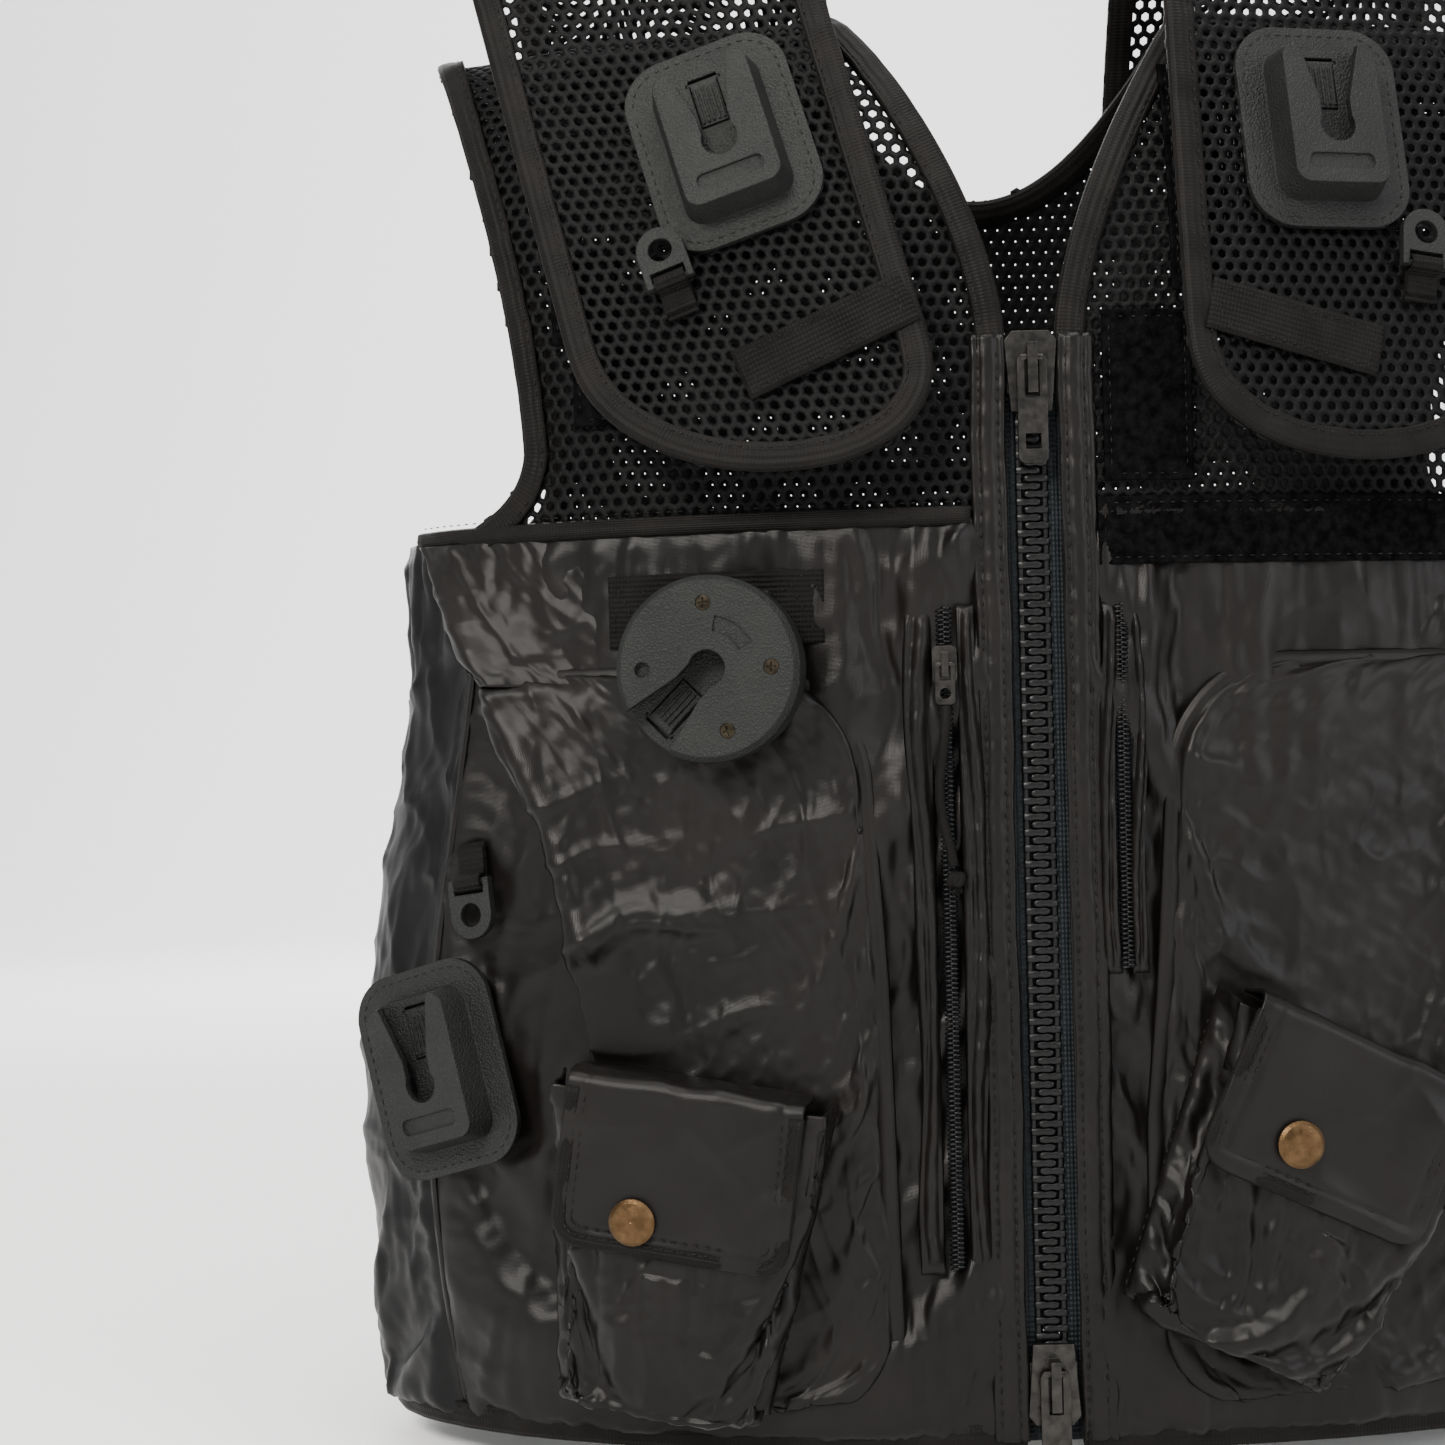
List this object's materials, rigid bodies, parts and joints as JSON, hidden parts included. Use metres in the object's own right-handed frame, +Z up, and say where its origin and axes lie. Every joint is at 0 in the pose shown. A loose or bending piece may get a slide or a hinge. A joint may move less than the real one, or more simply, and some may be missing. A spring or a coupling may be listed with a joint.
{
  "type": "equipment carrier vest",
  "caption": "Zip-front nylon vest with a mesh yoke, over-shoulder flaps carrying keyhole docks, bellows pockets with snap lids, swivel rings and a two-way front zip.",
  "frame": {"origin": "middle of the line between the two shoulder tops, where the vest hangs", "axes": "+X to the wearer's left, -Y the front, +Z up"},
  "size_m": [0.472, 0.2006, 0.5454],
  "materials": {
    "nylon": "plain woven nylon, slight sheen",
    "mesh": "open knitted mesh",
    "webbing": "woven tape",
    "loop_pile": "looped pile",
    "moulded": "fine grain",
    "gunmetal": "dark plated",
    "brass": "worn antique"
  },
  "bodies": {
    "vest": {"back_panel": "nylon", "back_yoke_mesh": "mesh", "front_panel_right": "nylon", "front_panel_left": "nylon", "side_panel_right": "nylon", "side_panel_left": "nylon", "chest_mesh_right": "mesh", "chest_mesh_left": "mesh", "neck_binding": "webbing", "armhole_binding_right": "webbing", "armhole_binding_left": "webbing", "hem_binding": "webbing", "placket_right": "webbing", "placket_left": "webbing", "zip_tapes": "webbing", "zip_teeth_right": "moulded", "zip_teeth_left": "moulded", "patch_pocket_right": "nylon", "patch_pocket_left": "nylon", "cargo_pocket_right": "nylon", "cargo_pocket_left": "nylon", "snap_studs": "brass", "slit_welts": "nylon", "slit_coils": "webbing", "loop_tapes": "loop_pile", "puck_strap": "webbing", "puck_body": "moulded", "puck_cover": "moulded", "puck_screws": "brass", "flap_rear_right": "mesh", "flap_rear_left": "mesh", "side_dock": "moulded", "side_ring_tab": "webbing"},
    "top_slider": {"zip_top_slider": "gunmetal"},
    "top_pull": {"zip_top_pull": "gunmetal"},
    "bottom_slider": {"zip_bottom_slider": "gunmetal"},
    "bottom_pull": {"zip_bottom_pull": "gunmetal"},
    "slit_slider": {"slit_slider": "gunmetal"},
    "slit_pull": {"slit_pull": "gunmetal", "slit_cord": "webbing", "slit_knot": "webbing"},
    "puck_latch": {"puck_latch": "moulded"},
    "side_latch": {"side_latch": "moulded"},
    "side_ring": {"side_ring": "moulded"},
    "flap_right": {"flap_front_right": "mesh", "flap_webbing_right": "webbing", "shoulder_dock_right": "moulded"},
    "shoulder_latch_right": {"shoulder_latch_right": "moulded"},
    "shoulder_ring_right": {"shoulder_ring_right": "moulded"},
    "cargo_lid_right": {"cargo_lid_right": "nylon", "snap_cap_right": "brass"},
    "flap_left": {"flap_front_left": "mesh", "flap_webbing_left": "webbing", "shoulder_dock_left": "moulded"},
    "shoulder_latch_left": {"shoulder_latch_left": "moulded"},
    "shoulder_ring_left": {"shoulder_ring_left": "moulded"},
    "cargo_lid_left": {"cargo_lid_left": "nylon", "snap_cap_left": "brass"}
  },
  "joints": [
    {"name": "top_slider_slide", "type": "slide", "parent": "vest", "child": "top_slider", "axis": [0, 0, -1], "range_m": [0, 0.27]},
    {"name": "top_pull_hinge", "type": "hinge", "parent": "top_slider", "child": "top_pull", "pos_m": [0, -0.0884, -0.131], "axis": [-1, 0, 0], "range_deg": [0, 150]},
    {"name": "bottom_slider_slide", "type": "slide", "parent": "vest", "child": "bottom_slider", "axis": [0, 0, 1], "range_m": [0, 0.026]},
    {"name": "bottom_pull_hinge", "type": "hinge", "parent": "bottom_slider", "child": "bottom_pull", "pos_m": [0, -0.0884, -0.458], "axis": [-1, 0, 0], "range_deg": [0, 150]},
    {"name": "flap_right_hinge", "type": "hinge", "parent": "vest", "child": "flap_right", "pos_m": [-0.127, -0.05, 0.0162], "axis": [-0.9766, 0.2149, 0], "range_deg": [0, 90]},
    {"name": "shoulder_latch_right_hinge", "type": "hinge", "parent": "flap_right", "child": "shoulder_latch_right", "pos_m": [-0.10339, -0.07197, -0.03603], "axis": [0.9434, -0.138, 0.3014], "range_deg": [0, 5], "stiffness_Nm_per_rad": 0.02, "springref_deg": -1.15},
    {"name": "shoulder_ring_right_hinge", "type": "hinge", "parent": "flap_right", "child": "shoulder_ring_right", "pos_m": [-0.11522, -0.08475, -0.10309], "axis": [0.9339, -0.1284, 0.3336], "range_deg": [0, 120]},
    {"name": "cargo_lid_right_hinge", "type": "hinge", "parent": "vest", "child": "cargo_lid_right", "pos_m": [-0.11199, -0.08156, -0.36019], "axis": [-0.9691, 0.2039, 0.1392], "range_deg": [0, 90]},
    {"name": "flap_left_hinge", "type": "hinge", "parent": "vest", "child": "flap_left", "pos_m": [0.10603, -0.05461, 0.0162], "axis": [-0.9766, -0.2149, 0], "range_deg": [0, 90]},
    {"name": "shoulder_latch_left_hinge", "type": "hinge", "parent": "flap_left", "child": "shoulder_latch_left", "pos_m": [0.09797, -0.07293, -0.03501], "axis": [0.9766, 0.2149, 0], "range_deg": [0, 5], "stiffness_Nm_per_rad": 0.02, "springref_deg": -1.15},
    {"name": "shoulder_ring_left_hinge", "type": "hinge", "parent": "flap_left", "child": "shoulder_ring_left", "pos_m": [0.12895, -0.08173, -0.10309], "axis": [0.9737, 0.1829, -0.1358], "range_deg": [0, 120]},
    {"name": "cargo_lid_left_hinge", "type": "hinge", "parent": "vest", "child": "cargo_lid_left", "pos_m": [0.09858, -0.08406, -0.35071], "axis": [-0.8996, -0.1103, 0.4226], "range_deg": [0, 90]},
    {"name": "side_latch_hinge", "type": "hinge", "parent": "vest", "child": "side_latch", "pos_m": [-0.20735, -0.046, -0.34052], "axis": [0.8349, -0.4765, 0.2756], "range_deg": [0, 5], "stiffness_Nm_per_rad": 0.02, "springref_deg": -1.15},
    {"name": "side_ring_hinge", "type": "hinge", "parent": "vest", "child": "side_ring", "pos_m": [-0.18806, -0.05285, -0.29769], "axis": [-0.8795, 0.4552, -0.1388], "range_deg": [0, 120]},
    {"name": "puck_latch_hinge", "type": "hinge", "parent": "vest", "child": "puck_latch", "pos_m": [-0.1221, -0.08444, -0.2465], "axis": [-0.6897, 0.1561, 0.707], "range_deg": [0, 5], "stiffness_Nm_per_rad": 0.02, "springref_deg": -1.15},
    {"name": "slit_slider_slide", "type": "slide", "parent": "vest", "child": "slit_slider", "axis": [0, 0, -1], "range_m": [0, 0.17]},
    {"name": "slit_pull_hinge", "type": "hinge", "parent": "slit_slider", "child": "slit_pull", "pos_m": [-0.0303, -0.08956, -0.22899], "axis": [-0.9985, 0.0554, 0], "range_deg": [0, 120]}
  ]
}
